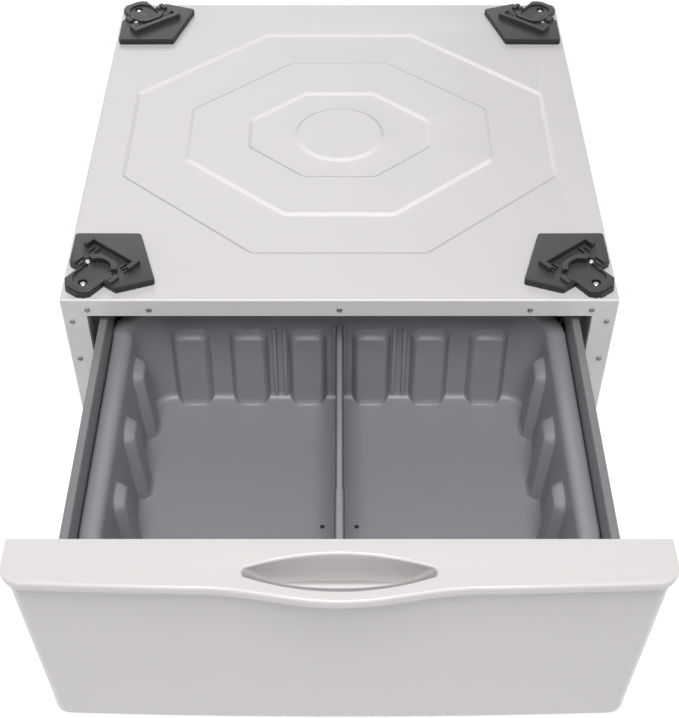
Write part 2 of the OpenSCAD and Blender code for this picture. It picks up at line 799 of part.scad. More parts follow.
module pad_screws() {
    color(zinc) at_corners() at_seat()
        translate([pad_screw_at[0], pad_screw_at[1], pocket_z + head_lift])
            pan_screw(pad_screw_d, pad_head_d, pad_head_h, pad_screw_len);
}

// Slides: u runs from the drawer's side towards the cabinet, v runs up from the slide's centre

slide_y0 = 5;
cage_t = 0.5;
race_outer = ball_outer_d + 2 * run;
race_inner = ball_inner_d + 2 * run;
outer_v = slide_h / 2;
middle_v = outer_v - rail_t - race_outer;
inner_v = middle_v - rail_t - race_inner;
outer_u = slide_gap - seat;
cage_outer_u = outer_u - rail_t - run;
middle_u = cage_outer_u - cage_t - run;
cage_inner_u = middle_u - rail_t - run;
inner_u = cage_inner_u - cage_t - run;
lip_outer_u = seat + 3;
lip_middle_u = seat + 2;
travel_middle = drawer_out / 2;
travel_cage_outer = drawer_out / 4;
travel_cage_inner = 3 * drawer_out / 4;

// A channel that opens towards the drawer, with lips turned in at its edges
module race_channel(u0, u1, v, lip) {
    for (s = [-1, 1]) {
        translate([u0, s > 0 ? v - rail_t : -v]) square([u1 - u0, rail_t]);
        translate([u0, s > 0 ? v - rail_t - lip : -v]) square([rail_t, rail_t + lip]);
    }
    translate([u1 - rail_t, -v]) square([rail_t, 2 * v]);
}

// Runs a slide's section along y and puts it on the drawer's right side
module slide_run(y0, length) {
    translate([box_half, y0 + length, slide_z]) rotate([90, 0, 0]) linear_extrude(length) children();
}

// Oblong windows pressed through a web at u, from y0
module web_slots(y0, length, u, half) {
    for (f = [0.12, 0.5, 0.88])
        translate([box_half + u - rail_t - 1, y0 + f * length, slide_z]) rotate([0, 90, 0])
            linear_extrude(rail_t + 2) {
                translate([0, -12]) circle(r = half);
                translate([0, 12]) circle(r = half);
                square([2 * half, 24], center = true);
            }
}

module slide_outer() {
    color(zinc) difference() {
        slide_run(slide_y0, slide_len) race_channel(lip_outer_u, outer_u, outer_v, 1.8);
        web_slots(slide_y0, slide_len, outer_u, 4);
    }
}

module slide_middle() {
    y0 = slide_y0 - travel_middle;
    color(zinc) difference() {
        slide_run(y0, slide_len) race_channel(lip_middle_u, middle_u, middle_v, 1.2);
        web_slots(y0, slide_len, middle_u, 3);
    }
}

slide_screw_ys = [40, slide_len / 2, slide_len - 40];
slide_screw_d = 4;

module at_slide_screws() {
    for (y = slide_screw_ys)
        translate([box_half + seat + rail_t, slide_y0 - front_gap + y, slide_z]) rotate([0, 90, 0]) children();
}

module slide_inner() {
    color(zinc) difference() {
        slide_run(slide_y0 - front_gap, slide_len)
            translate([seat + inner_u, 0]) mirror([1, 0]) race_channel(seat, inner_u, inner_v, 0);
        at_slide_screws() screw_hole(slide_screw_d, rail_t + 1);
    }
}

module slide_screws() {
    color(zinc) pair() at_slide_screws() translate([0, 0, 0.1]) pan_screw(slide_screw_d, 8, 1.8, 5);
}

// A thin cage with a row of balls above and below; u is its web, v the height of its rows
module ball_cage(u0, u1, v, ball_u, d, y0) {
    step = cage_len / ball_count;
    color(zinc) difference() {
        slide_run(y0, cage_len) {
            translate([u1 - cage_t, -v]) square([cage_t, 2 * v]);
            for (s = [-1, 1])
                translate([u0, s * v - cage_t / 2]) square([u1 - u0, cage_t]);
        }
        for (s = [-1, 1])
            for (i = [0:ball_count - 1])
                translate([box_half + ball_u, y0 + (i + 0.5) * step, slide_z + s * v - 1])
                    cylinder(h = 2, d = d + 0.2);
    }
    color(zinc) for (s = [-1, 1])
        for (i = [0:ball_count - 1])
            translate([box_half + ball_u, y0 + (i + 0.5) * step, slide_z + s * v]) sphere(d = d, $fn = 24);
}

module ball_cage_outer() {
    ball_cage(lip_outer_u + rail_t + run, cage_outer_u, middle_v + race_outer / 2,
        (lip_outer_u + rail_t + cage_outer_u - cage_t) / 2, ball_outer_d,
        slide_y0 + (slide_len - cage_len) / 2 - travel_cage_outer);
}

module ball_cage_inner() {
    ball_cage(lip_middle_u + rail_t + run, cage_inner_u, inner_v + race_inner / 2,
        (lip_middle_u + rail_t + cage_inner_u - cage_t) / 2, ball_inner_d,
        slide_y0 + (slide_len - cage_len) / 2 - travel_cage_inner);
}

// Hat channel that holds a slide off the cabinet's side
module slide_mount() {
    xo = half_w - sheet - seat - channel / 2;
    xi = opening + seat + channel / 2;
    half = outer_v + 4;
    path = [[xo, slide_z - half - 16], [xo, slide_z - half], [xi, slide_z - half], [xi, slide_z + half],
        [xo, slide_z + half], [xo, slide_z + half + 16]];
    color(galvanised)
        along_y(strip(path, channel, channel), post_y + post_d + 2, slide_y0 + slide_len + 20);
}

// Drawer box: steel sides and back round the plastic tub

box_t = 1.2;
pan_t = 1;
pan_z = tub_z - tub_wall - seat - pan_t;
box_low = pan_z - seat - box_t / 2;
rim_low = shoulder_z - shoulder_w / 2 - 2;

module drawer_side() {
    x = box_half - box_t / 2;
    path = [[x - rim_w + box_t, rim_low], [x - rim_w + box_t, rim_z - box_t / 2], [x, rim_z - box_t / 2],
        [x, box_low], [x - 16, box_low]];
    color(grey) difference() {
        along_y(strip(path, box_t, box_t), seat, box_len);
        translate([-box_t - seat, 0, 0]) at_slide_screws() screw_hole(slide_screw_d, box_t + 1);
    }
}

module drawer_back() {
    y = box_len - box_t / 2;
    x1 = box_half - rim_w - seat;
    path = [[y - rim_w + box_t, rim_low], [y - rim_w + box_t, rim_z - box_t / 2], [y, rim_z - box_t / 2],
        [y, pan_z + 2 * seat + pan_t]];
    x2 = box_half - box_t - seat;
    color(grey) {
        along_x(strip(path, box_t, box_t), -x1, x1);
        block([-x2, box_len - box_t, pan_z + 2 * seat + pan_t], [x2, box_len, rim_low - seat]);
    }
}

module drawer_pan() {
    x1 = box_half - box_t - seat;
    color(galvanised) block([-x1, 2 * seat, pan_z], [x1, box_len - seat, pan_z + pan_t]);
}

tub_front = shoulder_w + 2;
tub_back = box_len - rim_w - shoulder_w;
roll_r = shoulder_w / 2 - seat;
roll_z = shoulder_z - roll_r;
rib_top = rim_z - rib_drop;

// Outline of the tub's inner wall in plan, moved inwards by d
function tub_outline(d) = rounded(box_outline(-inner_half, inner_half, tub_front, tub_back),
    tub_corner_r, -d, 6);

// Section of the tub from the middle of its underside, up the outside, over the roll and down inside
tub_section = [
    [tub_draft + floor_r, tub_z - tub_wall],
    [tub_draft - tub_wall + floor_r * 0.45, tub_z - tub_wall + 1],
    [tub_draft - tub_wall, tub_z + floor_r * 0.6],
    [-tub_wall, roll_z],
    for (a = [20:35:160]) [-roll_r, roll_z] + (roll_r - tub_wall) * [cos(a), sin(a)],
    [-2 * roll_r + tub_wall, roll_z],
    [-2 * roll_r, roll_z],
    for (a = [157.5:-22.5:22.5]) [-roll_r, roll_z] + roll_r * [cos(a), sin(a)],
    [0, roll_z],
    for (k = [0:4]) [tub_draft + floor_r * (1 - cos(k * 22.5)), tub_z + floor_r * (1 - sin(k * 22.5))]];

// A rib: upright, flat topped, rounded at its front edges; z up, y points into the tub
module rib(w, out, top, back, low) {
    corner = 6;
    deep = out + tub_draft;
    intersection() {
        translate([0, 0, low]) linear_extrude(top - low)
            polygon(rounded([[-w / 2, back], [w / 2, back], [w / 2, deep], [-w / 2, deep]], corner));
        translate([-w, 0, 0]) rotate([90, 0, 90]) linear_extrude(2 * w)
            polygon([[back + corner, low - 1], [deep, low - 1], [out + 1, top - corner],
                each arc([out + 1 - corner, top - corner], corner, 0, 90, 4), [back + corner, top]]);
    }
}

module rib_solid(w) {
    rib(w, rib_out, rib_top, -tub_wall - 6 + 2, tub_z - tub_wall / 2);
}

module rib_hollow(w) {
    rib(w - 2 * tub_wall, rib_out - tub_wall, rib_top - tub_wall, -24, tub_z + floor_r);
}

module at_back_ribs() {
    for (s = [-1, 1])
        for (i = [0:2])
            translate([s * (back_rib_first + i * back_rib_pitch), tub_back, 0]) rotate(180) children();
}

module at_side_ribs() {
    for (s = [-1, 1])
        for (i = [0:2])
            translate([s * inner_half, tub_back - side_rib_first - i * side_rib_pitch, 0])
                rotate(s * 90) children();
}

divider_z = tub_z + divider_h;
guide_out = 4;
rail_bead = 14;
guide_top = divider_z - rail_bead - 2;

// How far the tub's leaning wall stands in from its top edge at height z
function wall_in(z) = tub_draft * (roll_z - z) / (roll_z - tub_z - floor_r);

// Upright strips on the front and back walls, in pairs, that follow the walls' lean
module guides() {
    low_in = wall_in(tub_z + floor_r);
    top_in = wall_in(guide_top);
    for (x = [-guide_pitch, 0, guide_pitch])
        for (s = [-1, 1])
            for (wall = [[tub_front, 1], [tub_back, -1]])
                translate([x + s * (guide_gap + guide_w) / 2, 0, 0])
                    along_x([for (q = [[-1, tub_z - 1], [low_in + guide_out, tub_z - 1],
                        [low_in + guide_out, tub_z + floor_r], [top_in + guide_out, guide_top - 2],
                        [top_in + guide_out - 2, guide_top], [-1, guide_top]])
                        [wall[0] + wall[1] * q[0], q[1]]], -guide_w / 2, guide_w / 2);
}

module drawer_tub() {
    color(grey) difference() {
        union() {
            loft([for (q = tub_section) at_z(tub_outline(q[0]), q[1])]);
            at_back_ribs() rib_solid(back_rib_w);
            at_side_ribs() rib_solid(side_rib_w);
            guides();
        }
        at_back_ribs() rib_hollow(back_rib_w);
        at_side_ribs() rib_hollow(side_rib_w);
        pair() translate([21.6, tub_front + 159, tub_z - tub_wall - 1]) cylinder(h = tub_wall + 2, r = 2.2);
    }
}

// Divider: a panel in the middle guides, a beaded rail on its top and a sleeve at its front end

rail_y0 = tub_front + 2.5;
rail_y1 = tub_back - 2.5;
rail_half = divider_rail_w / 2;
sleeve_t = 0.8;
panel_top = divider_z - 4;

// Ends of the divider panel at height z, beside the leaning walls
function end_in(z) = wall_in(z) + 2 * divider_clear;

// The panel's outline, cut back by d at its ends; its lower corners clear the tub's floor fillet
function panel_outline(d, top) = let (corner = floor_r + 2, low = tub_z + divider_clear) [
    [tub_front + end_in(low + corner) + d + corner, low], [tub_back - end_in(low + corner) - d - corner, low],
    [tub_back - end_in(low + corner) - d, low + corner], [tub_back - end_in(top) - d, top],
    [tub_front + end_in(top) + d, top], [tub_front + end_in(low + corner) + d, low + corner]];

// Ends of the tongue on the panel's top that the rail is pushed onto
tongue_y0 = tub_front + end_in(guide_top) + 4;
tongue_y1 = tub_back - end_in(guide_top) - 4;

module divider_panel() {
    end = 2.5;
    tab_low = tub_z + divider_clear + floor_r + 2;
    tab_half = guide_gap / 2 - divider_clear;
    color(grey) {
        along_x(panel_outline(0, guide_top), -divider_t / 2, divider_t / 2);
        block([-divider_t / 2, tongue_y0, guide_top - 1], [divider_t / 2, tongue_y1, panel_top]);
        difference() {
            along_x(panel_outline(0, guide_top), -tab_half, tab_half);
            along_x(panel_outline(end, guide_top + 1), -tab_half - 1, tab_half + 1);
            block([-big, -1, 0], [big, big, tab_low]);
        }
    }
}

module divider_rail() {
    slot = divider_t / 2 + seat;
    color(grey) difference() {
        intersection() {
            translate([0, rail_y1, 0]) rotate([90, 0, 0]) linear_extrude(rail_y1 - rail_y0) union() {
                translate([0, divider_z - rail_half]) circle(r = rail_half);
                translate([-rail_half, divider_z - rail_bead]) square([2 * rail_half, rail_bead - rail_half]);
            }
            translate([0, 0, divider_z - rail_bead - 1]) linear_extrude(rail_bead + 2) union() {
                for (y = [rail_y0 + rail_half, rail_y1 - rail_half])
                    translate([0, y]) circle(r = rail_half);
                translate([-rail_half, rail_y0 + rail_half])
                    square([2 * rail_half, rail_y1 - rail_y0 - 2 * rail_half]);
            }
        }
        block([-slot, tongue_y0 - seat, divider_z - rail_bead - 1], [slot, tongue_y1 + seat, panel_top + seat]);
    }
}

module divider_sleeve() {
    inner = rail_half + seat;
    outer = inner + sleeve_t;
    y0 = tub_front + 1.5;
    color(grey) translate([0, tub_front + sleeve_len, 0]) rotate([90, 0, 0])
        linear_extrude(sleeve_len - y0 + tub_front) difference() {
            union() {
                translate([0, divider_z - rail_half]) circle(r = outer);
                translate([-outer, divider_z - rail_bead]) square([2 * outer, rail_bead - rail_half]);
            }
            translate([0, divider_z - rail_half]) circle(r = inner);
            translate([-inner, divider_z - rail_bead - 1]) square([2 * inner, rail_bead - rail_half + 1]);
        }
}

// Drawer front: a hollow moulding with a rolled lip, a bulge and a thumb recess along the top

lip_z = deck_h - lip_t;
nose_r = lip_t / 2;
fillet = 5;

// Plan of the front at one height: half width, reach, curve across, bulge and corner radius
function front_plan(hx, reach, curve, swell, round) = let (
    nx = 40,
    front = function(x) -reach + curve * pow(x / (front_w / 2), 2)
        - (abs(x) < bulge_half ? swell * (1 + cos(180 * x / bulge_half)) / 2 : 0),
    r = min(round, -front(hx - round) - 1),
    cy = front(hx - r) + r) [
    each [for (i = [0:nx]) let (x = (hx - r) * (2 * i / nx - 1)) [x, front(x)]],
    each [for (k = [1:6]) [hx - r, cy] + r * [cos(-90 + 15 * k), sin(-90 + 15 * k)]],
    [hx, 0], [-hx, 0],
    each [for (k = [0:5]) [-hx + r, cy] + r * [cos(180 + 15 * k), sin(180 + 15 * k)]]];

function up_face(z) = (z - front_z) / (lip_z - front_z);
function face_reach(z) = face_low + (face_top - face_low) * up_face(z);
function face_bow(z) = bow_low + (bow - bow_low) * up_face(z);
function face_ring(z, d) =
    at_z(front_plan(front_w / 2 - 1.5 - d, face_reach(z) - d, face_bow(z), 0, 12 - min(d, 3)), z);

front_rings = [
    face_ring(front_z, 4),
    face_ring(front_z + 1.5, 1.5),
    face_ring(front_z + 5, 0),
    face_ring(lip_z - fillet, 0),
    at_z(front_plan(front_w / 2 - 1.4, face_reach(lip_z) + 1.5, bow, 0.1 * bulge, 14), lip_z - 1.5),
    at_z(front_plan(front_w / 2 - 1.2, face_reach(lip_z) + 5, bow, 0.4 * bulge, 17), lip_z - 0.5),
    for (a = [-90:30:90]) at_z(front_plan(front_w / 2 - 1.1 * abs(sin(a)),
        lip_reach - nose_r * (1 - cos(a)), bow, bulge, 24), lip_z + nose_r + nose_r * sin(a))];

cavity_rings = [for (z = [front_z + front_wall, lip_z - fillet - 1])
    [for (q = face_ring(z, front_wall)) q[1] == 0 ? [q[0], 1, z] : q]];

// Lens-shaped plan of the recess between its far and near edges
function lens(half, far, near) = let (nx = 10, r = (far - near) / 6.4, mid = (far + near) / 2) [
    each [for (i = [0:nx]) let (t = 2 * i / nx - 1) [t * (half - r), near + (mid - r - near) * t * t]],
    each arc([half - r, mid], r, -60, 60, 4),
    each [for (i = [0:nx]) let (t = 1 - 2 * i / nx) [t * (half - r), far + (mid + r - far) * t * t]],
    each arc([-half + r, mid], r, 120, 240, 4)];

// The recess as rings from its floor to above the top, grown by g, and g deeper
function recess_rings(g) = [for (q = [[1, 38, 9.5, 25], [0.88, 24, 7, 22], [0.64, 14, 4, 17],
    [0.42, 8, 2.5, 11.5], [0.22, 3, 1, 5], [0.05, 0, 0, 0], [-0.05, -1.7, -1.7, -1.7]])
    at_z(lens(recess_half - q[1] + g, -recess_back - q[2] + g, -recess_near + q[3] - g),
        deck_h - recess_depth * q[0] - (q[0] == 1 ? g : 0))];

module drawer_front() {
    color(white) difference() {
        union() {
            difference() {
                loft(front_rings);
                loft(cavity_rings);
                block([-front_w / 2 + 12, -lip_reach / 2, lip_z - fillet - 2],
                    [front_w / 2 - 12, 1, deck_h - front_wall]);
            }
            intersection() {
                loft(recess_rings(front_wall));
                loft(front_rings);
            }
        }
        loft(recess_rings(0));
    }
}

module front_inner_panel() {
    x1 = front_w / 2 - 1.5 - front_wall - 0.6;
    z1 = lip_z - fillet - 1.6;
    color(galvanised) block([-x1, -seat - box_t, front_z + front_wall + 0.6], [x1, -seat, z1]);
}

module closing_bumpers() {
    color(black) for (s = [-1, 1])
        for (z = [front_z + 45, deck_h - 60])
            translate([s * (half_w - 15), -seat + 0.1, z]) rotate([-90, 0, 0]) cylinder(h = 1.6, r = 6.5);
}

place() cabinet_wrap();
place() rear_panel();
place() header_beam();
place() mirror([1, 0, 0]) front_post();  // front_post_left
place() front_post();  // front_post_right
place() mirror([1, 0, 0]) base_rail_side();  // base_rail_left
place() base_rail_side();  // base_rail_right
place() base_rail_cross(1, base_y0);  // base_rail_front
place() base_rail_cross(-1, base_y1);  // base_rail_rear
place() deck_brace(-1);  // deck_brace_front
place() deck_brace(1);  // deck_brace_rear
place() mirror([1, 0, 0]) slide_mount();  // slide_mount_left
place() slide_mount();  // slide_mount_right
place() mirror([1, 0, 0]) slide_outer();  // slide_outer_left
place() slide_outer();  // slide_outer_right
place() mirror([1, 0, 0]) slide_middle();  // slide_middle_left
place() slide_middle();  // slide_middle_right
on_drawer() mirror([1, 0, 0]) slide_inner();  // slide_inner_left
on_drawer() slide_inner();  // slide_inner_right
place() mirror([1, 0, 0]) ball_cage_outer();  // ball_cage_outer_left
place() ball_cage_outer();  // ball_cage_outer_right
place() mirror([1, 0, 0]) ball_cage_inner();  // ball_cage_inner_left
place() ball_cage_inner();  // ball_cage_inner_right
place() frame_screws();
place() rear_screws();
place() corner_pad(false, false);  // corner_pad_front_left
place() corner_pad(true, false);  // corner_pad_front_right
place() corner_pad(false, true);  // corner_pad_rear_left
place() corner_pad(true, true);  // corner_pad_rear_right
place() foot_clamp(false, false);  // foot_clamp_front_left
place() foot_clamp(true, false);  // foot_clamp_front_right
place() foot_clamp(false, true);  // foot_clamp_rear_left
place() foot_clamp(true, true);  // foot_clamp_rear_right
place() clamp_screws();
place() pad_screws();
place() weld_nuts();
place() lock_nuts();
place() foot_pad(-1, 0);  // foot_pad_front_left
place() foot_pad(1, 0);  // foot_pad_front_right
place() foot_pad(-1, 1);  // foot_pad_rear_left
place() foot_pad(1, 1);  // foot_pad_rear_right
place() foot_stem(-1, 0);  // foot_stem_front_left
place() foot_stem(1, 0);  // foot_stem_front_right
place() foot_stem(-1, 1);  // foot_stem_rear_left
place() foot_stem(1, 1);  // foot_stem_rear_right
on_drawer() drawer_front();
on_drawer() front_inner_panel();
on_drawer() mirror([1, 0, 0]) drawer_side();  // drawer_side_left
on_drawer() drawer_side();  // drawer_side_right
on_drawer() drawer_back();
on_drawer() drawer_pan();
on_drawer() drawer_tub();
on_drawer() slide_screws();
on_drawer() closing_bumpers();
on_drawer() divider_panel();
on_drawer() divider_rail();
on_drawer() divider_sleeve();
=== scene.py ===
import json
from math import ceil, copysign, cos, hypot, pi, radians, sin, sqrt

import bmesh
import bpy
from mathutils import Matrix, Vector

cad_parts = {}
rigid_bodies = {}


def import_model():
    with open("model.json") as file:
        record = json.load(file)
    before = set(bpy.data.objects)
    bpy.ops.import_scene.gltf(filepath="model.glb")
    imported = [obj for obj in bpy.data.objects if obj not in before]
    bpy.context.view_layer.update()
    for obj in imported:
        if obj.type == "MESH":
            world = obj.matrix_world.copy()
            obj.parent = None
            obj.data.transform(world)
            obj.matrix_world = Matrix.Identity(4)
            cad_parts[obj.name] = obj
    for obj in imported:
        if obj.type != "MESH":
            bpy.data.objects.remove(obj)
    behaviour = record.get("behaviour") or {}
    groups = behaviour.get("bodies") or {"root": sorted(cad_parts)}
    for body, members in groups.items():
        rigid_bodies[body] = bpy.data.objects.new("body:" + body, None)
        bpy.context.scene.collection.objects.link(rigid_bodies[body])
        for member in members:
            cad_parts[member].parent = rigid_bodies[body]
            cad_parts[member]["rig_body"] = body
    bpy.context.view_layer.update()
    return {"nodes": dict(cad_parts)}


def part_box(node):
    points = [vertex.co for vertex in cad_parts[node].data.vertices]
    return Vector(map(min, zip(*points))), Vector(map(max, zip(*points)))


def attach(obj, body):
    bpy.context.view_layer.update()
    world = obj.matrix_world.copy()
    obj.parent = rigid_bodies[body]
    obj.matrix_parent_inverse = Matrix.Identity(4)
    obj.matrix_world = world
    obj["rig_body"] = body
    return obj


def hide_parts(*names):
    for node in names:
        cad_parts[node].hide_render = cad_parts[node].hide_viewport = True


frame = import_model()


# The studio: a pale floor and a white surround, a soft key lamp high in front, a broad panel high
# behind that gives the upward faces their sheen, and weak lamps low in front and at both sides.
# The camera stands high in front of the pulled-out drawer and looks down into it.

def plain(name, color, roughness):
    finish = bpy.data.materials.new(name)
    finish.use_nodes = True
    shader = finish.node_tree.nodes["Principled BSDF"]
    shader.inputs["Base Color"].default_value = (*color, 1)
    shader.inputs["Roughness"].default_value = roughness
    return finish


def add_lamp(name, place, target, size, power):
    lamp = bpy.data.lights.new(name, "AREA")
    lamp.shape = "RECTANGLE"
    lamp.size, lamp.size_y = size
    lamp.energy = power
    holder = bpy.data.objects.new(name, lamp)
    bpy.context.scene.collection.objects.link(holder)
    holder.location = place
    holder.rotation_euler = (Vector(target) - Vector(place)).to_track_quat("-Z", "Y").to_euler()


def seen_directly(nodes, links, low, high):
    """A value that is high where the camera, a reflection or glass looks, and low for all other light."""
    ray = nodes.new("ShaderNodeLightPath")
    direct = nodes.new("ShaderNodeMath")
    direct.operation = "MAXIMUM"
    seen = nodes.new("ShaderNodeMath")
    seen.operation = "MAXIMUM"
    level = nodes.new("ShaderNodeMapRange")
    level.inputs["To Min"].default_value = low
    level.inputs["To Max"].default_value = high
    links.new(ray.outputs["Is Camera Ray"], direct.inputs[0])
    links.new(ray.outputs["Is Glossy Ray"], direct.inputs[1])
    links.new(direct.outputs["Value"], seen.inputs[0])
    links.new(ray.outputs["Is Transmission Ray"], seen.inputs[1])
    links.new(seen.outputs["Value"], level.inputs["Value"])
    return level.outputs["Result"]


camera_data = bpy.data.cameras.new("camera")
camera_data.lens = 64.0
camera = bpy.data.objects.new("camera", camera_data)
bpy.context.scene.collection.objects.link(camera)
camera.location = (0.0, -1.2625, 1.4332)
camera_down = 46.02
camera.rotation_euler = (radians(90 - camera_down), 0, 0)
camera_data.clip_end = 60
bpy.context.scene.camera = camera

floor_mesh = bmesh.new()
bmesh.ops.create_grid(floor_mesh, x_segments=1, y_segments=1, size=14)
floor_data = bpy.data.meshes.new("floor")
floor_mesh.to_mesh(floor_data)
floor_mesh.free()
floor = bpy.data.objects.new("floor", floor_data)
bpy.context.scene.collection.objects.link(floor)
floor_white = plain("floor_white", (0.48, 0.48, 0.48), 0.9)
floor_shader = floor_white.node_tree.nodes["Principled BSDF"]
floor_shader.inputs["Specular IOR Level"].default_value = 0
floor_shader.inputs["Emission Color"].default_value = (1, 1, 1, 1)
floor_nodes, floor_links = floor_white.node_tree.nodes, floor_white.node_tree.links
# Near the object the floor is dim enough to show its shadow, and further off it turns plain white.
near_floor, far_floor = 1.2, 4.0
near_glow = 0.72
floor_place = floor_nodes.new("ShaderNodeTexCoord")
floor_distance = floor_nodes.new("ShaderNodeVectorMath")
floor_distance.operation = "LENGTH"
floor_links.new(floor_place.outputs["Object"], floor_distance.inputs[0])
floor_glow = floor_nodes.new("ShaderNodeMapRange")
floor_glow.inputs["From Min"].default_value = near_floor
floor_glow.inputs["From Max"].default_value = far_floor
floor_glow.inputs["To Min"].default_value = near_glow
floor_links.new(floor_distance.outputs["Value"], floor_glow.inputs["Value"])
floor_seen = floor_nodes.new("ShaderNodeMath")
floor_seen.operation = "MULTIPLY"
floor_links.new(floor_glow.outputs["Result"], floor_seen.inputs[0])
floor_links.new(seen_directly(floor_nodes, floor_links, 0, 1), floor_seen.inputs[1])
floor_links.new(floor_seen.outputs["Value"], floor_shader.inputs["Emission Strength"])
floor.data.materials.append(floor_white)

object_middle, deck_middle = (0, 0, 0.3), (0, 0.2, 0.3)
add_lamp("key_lamp", (0.0, -1.8, 3.25), object_middle, size=(1.4, 1.4), power=86)
add_lamp("rear_panel_lamp", (-0.7, 3.4, 2.3), deck_middle, size=(2.4, 1.6), power=29)
add_lamp("front_lamp", (0.0, -3.6, 1.2), object_middle, size=(2.0, 1.5), power=4)
add_lamp("left_lamp", (-3.2, -0.9, 0.9), object_middle, size=(1.6, 1.4), power=13)
add_lamp("right_lamp", (3.2, -0.9, 0.9), object_middle, size=(1.6, 1.4), power=13)

world = bpy.data.worlds.new("studio")
bpy.context.scene.world = world
world.use_nodes = True
background = world.node_tree.nodes["Background"]
background.inputs["Color"].default_value = (1, 1, 1, 1)
world.node_tree.links.new(seen_directly(world.node_tree.nodes, world.node_tree.links, 0.15, 1.0),
                          background.inputs["Strength"])
bpy.context.scene.view_settings.view_transform = "Standard"


# The sheet steel of the cabinet: two sides, the mitred front frame and the pressed deck are one
# folded sheet, powder-coated white, and the rear panel is a second sheet in the same paint. The
# pressed steps of the deck are rounded over, as a press leaves them.

def surface_group(name, inputs, outputs):
    group = bpy.data.node_groups.new(name, "ShaderNodeTree")
    for socket, kind, value in inputs:
        group.interface.new_socket(socket, in_out="INPUT", socket_type=kind).default_value = value
    for socket, kind in outputs:
        group.interface.new_socket(socket, in_out="OUTPUT", socket_type=kind)
    return group


cloud_roughness = 0.06


def build_grain():
    number = "NodeSocketFloat"
    group = surface_group(
        "fine_grain",
        [("Color", "NodeSocketColor", (1, 1, 1, 1)), ("Roughness", number, 0.4), ("Scale", number, 900.0),
         ("Depth", number, 0.1), ("Cloud", number, 0.04)],
        [("Color", "NodeSocketColor"), ("Roughness", number), ("Normal", "NodeSocketVector")])
    nodes, links = group.nodes, group.links
    given, made = nodes.new("NodeGroupInput"), nodes.new("NodeGroupOutput")
    place = nodes.new("ShaderNodeTexCoord")
    grain = nodes.new("ShaderNodeTexNoise")
    grain.inputs["Detail"].default_value = 3
    links.new(place.outputs["Object"], grain.inputs["Vector"])
    links.new(given.outputs["Scale"], grain.inputs["Scale"])
    bump = nodes.new("ShaderNodeBump")
    bump.inputs["Distance"].default_value = 0.0002
    links.new(grain.outputs["Fac"], bump.inputs["Height"])
    links.new(given.outputs["Depth"], bump.inputs["Strength"])
    links.new(bump.outputs["Normal"], made.inputs["Normal"])
    cloud = nodes.new("ShaderNodeTexNoise")
    cloud.inputs["Scale"].default_value = 7
    cloud.inputs["Detail"].default_value = 4
    links.new(place.outputs["Object"], cloud.inputs["Vector"])
    spread = nodes.new("ShaderNodeMapRange")
    links.new(cloud.outputs["Fac"], spread.inputs["Value"])
    low = nodes.new("ShaderNodeMath")
    low.operation = "SUBTRACT"
    low.inputs[0].default_value = 1
    links.new(given.outputs["Cloud"], low.inputs[1])
    links.new(low.outputs["Value"], spread.inputs["To Min"])
    tint = nodes.new("ShaderNodeVectorMath")
    tint.operation = "SCALE"
    links.new(given.outputs["Color"], tint.inputs[0])
    links.new(spread.outputs["Result"], tint.inputs["Scale"])
    links.new(tint.outputs["Vector"], made.inputs["Color"])
    sheen = nodes.new("ShaderNodeMapRange")
    links.new(cloud.outputs["Fac"], sheen.inputs["Value"])
    rougher = nodes.new("ShaderNodeMath")
    rougher.operation = "ADD"
    rougher.inputs[1].default_value = cloud_roughness
    links.new(given.outputs["Roughness"], sheen.inputs["To Min"])
    links.new(given.outputs["Roughness"], rougher.inputs[0])
    links.new(rougher.outputs["Value"], sheen.inputs["To Max"])
    links.new(sheen.outputs["Result"], made.inputs["Roughness"])
    return group


fine_grain = build_grain()


def grained(name, color, roughness, scale, depth, cloud=0.04, metallic=0.0, coat=0.0):
    finish = plain(name, color, roughness)
    nodes, links = finish.node_tree.nodes, finish.node_tree.links
    shader = nodes["Principled BSDF"]
    shader.inputs["Metallic"].default_value = metallic
    shader.inputs["Coat Weight"].default_value = coat
    shader.inputs["Coat Roughness"].default_value = 0.15
    skin = nodes.new("ShaderNodeGroup")
    skin.node_tree = fine_grain
    skin.inputs["Color"].default_value = (*color, 1)
    skin.inputs["Roughness"].default_value = roughness
    skin.inputs["Scale"].default_value = scale
    skin.inputs["Depth"].default_value = depth
    skin.inputs["Cloud"].default_value = cloud
    links.new(skin.outputs["Color"], shader.inputs["Base Color"])
    links.new(skin.outputs["Roughness"], shader.inputs["Roughness"])
    links.new(skin.outputs["Normal"], shader.inputs["Normal"])
    return finish


def finish_piece(mesh, name, body, material, node=None, angle=35):
    """Makes an object of a bmesh, smooths it up to the given angle and lets it ride on its body."""
    data = bpy.data.meshes.new(name)
    mesh.to_mesh(data)
    mesh.free()
    for face in data.polygons:
        face.use_smooth = True
    data.set_sharp_from_angle(angle=radians(angle))
    data.materials.append(material)
    piece = bpy.data.objects.new(name, data)
    bpy.context.scene.collection.objects.link(piece)
    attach(piece, body)
    if node:
        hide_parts(node)
    return piece


def merged_copy(node):
    """The CAD node's mesh with its doubled points joined and its flat faces made whole."""
    mesh = bmesh.new()
    mesh.from_mesh(frame["nodes"][node].data)
    bmesh.ops.remove_doubles(mesh, verts=mesh.verts, dist=2e-6)
    bmesh.ops.dissolve_limit(mesh, angle_limit=radians(0.6), verts=mesh.verts, edges=mesh.edges)
    return mesh


sharp_corner = radians(30)


def eased(node, material, width, segments=2):
    """The CAD node with its sharp corners eased by a bevel."""
    mesh = merged_copy(node)
    corners = [edge for edge in mesh.edges
               if len(edge.link_faces) == 2 and edge.calc_face_angle() > sharp_corner]
    if corners:
        bmesh.ops.bevel(mesh, geom=corners, offset=width, segments=segments, profile=0.5,
                        affect="EDGES", material=-1, clamp_overlap=True)
    body = frame["nodes"][node]["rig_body"]
    return finish_piece(mesh, node + "_eased", body, material, node)


